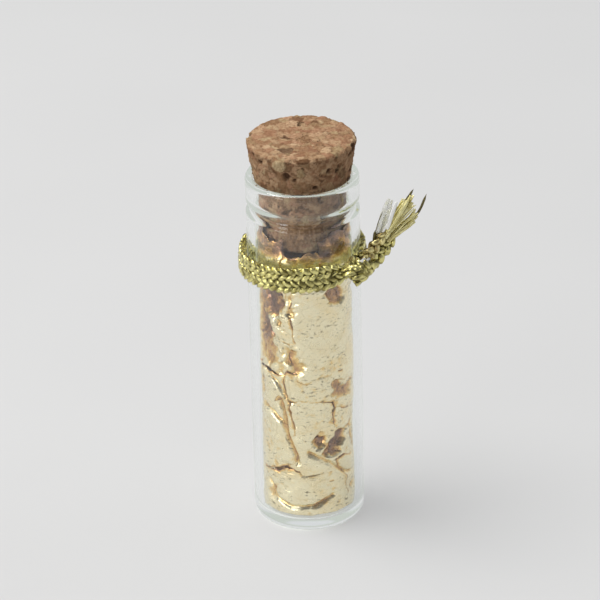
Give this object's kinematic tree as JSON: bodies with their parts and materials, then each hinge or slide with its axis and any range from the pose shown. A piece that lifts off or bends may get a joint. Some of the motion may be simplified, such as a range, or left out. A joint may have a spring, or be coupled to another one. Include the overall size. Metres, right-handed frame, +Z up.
{
  "type": "gold sample vial",
  "caption": "Small clear glass vial with a tapered cork stopper, packed with crumpled gold leaf and tied round its shoulder with a braided gold metallic cord that ends in a frayed knot",
  "frame": {"origin": "centre of the vial's flat foot, on the vial's axis, on the surface that it stands on", "axes": "+Z up along the vial's axis towards the cork, -Y to the front, +X to the right, where the cord's knot and frayed ends stand out"},
  "size_m": [0.0248, 0.017, 0.0556],
  "materials": {
    "glass": "gloss",
    "cork": "matte",
    "gold_leaf": "polished",
    "metallic_braid": "satin",
    "metallic_threads": "gloss"
  },
  "bodies": {
    "vial": {"glass_vial": "glass", "gold_leaf_outer_01": "gold_leaf", "gold_leaf_outer_02": "gold_leaf", "gold_leaf_outer_03": "gold_leaf", "gold_leaf_outer_04": "gold_leaf", "gold_leaf_outer_05": "gold_leaf", "gold_leaf_outer_06": "gold_leaf", "gold_leaf_outer_07": "gold_leaf", "gold_leaf_outer_08": "gold_leaf", "gold_leaf_outer_09": "gold_leaf", "gold_leaf_outer_10": "gold_leaf", "gold_leaf_outer_11": "gold_leaf", "gold_leaf_outer_12": "gold_leaf", "gold_leaf_outer_13": "gold_leaf", "gold_leaf_outer_14": "gold_leaf", "gold_leaf_outer_15": "gold_leaf", "gold_leaf_outer_16": "gold_leaf", "gold_leaf_outer_17": "gold_leaf", "gold_leaf_outer_18": "gold_leaf", "gold_leaf_outer_19": "gold_leaf", "gold_leaf_outer_20": "gold_leaf", "gold_leaf_outer_21": "gold_leaf", "gold_leaf_outer_22": "gold_leaf", "gold_leaf_outer_23": "gold_leaf", "gold_leaf_outer_24": "gold_leaf", "gold_leaf_inner_01": "gold_leaf", "gold_leaf_inner_02": "gold_leaf", "gold_leaf_inner_03": "gold_leaf", "gold_leaf_inner_04": "gold_leaf", "gold_leaf_inner_05": "gold_leaf", "gold_leaf_inner_06": "gold_leaf", "gold_leaf_inner_07": "gold_leaf", "gold_leaf_inner_08": "gold_leaf"},
    "stopper": {"cork_stopper": "cork"},
    "tie": {"cord_band": "metallic_braid", "cord_knot": "metallic_braid", "cord_end_upper": "metallic_braid", "cord_end_lower": "metallic_braid", "cord_fray_upper": "metallic_threads", "cord_fray_lower": "metallic_threads"}
  },
  "joints": [
    {"name": "stopper_lift", "type": "slide", "parent": "vial", "child": "stopper", "axis": [0, 0, 1], "range_m": [0, 0.021]},
    {"name": "cord_slide", "type": "slide", "parent": "vial", "child": "tie", "axis": [0, 0, 1], "range_m": [-0.0355, 0.0095]}
  ]
}
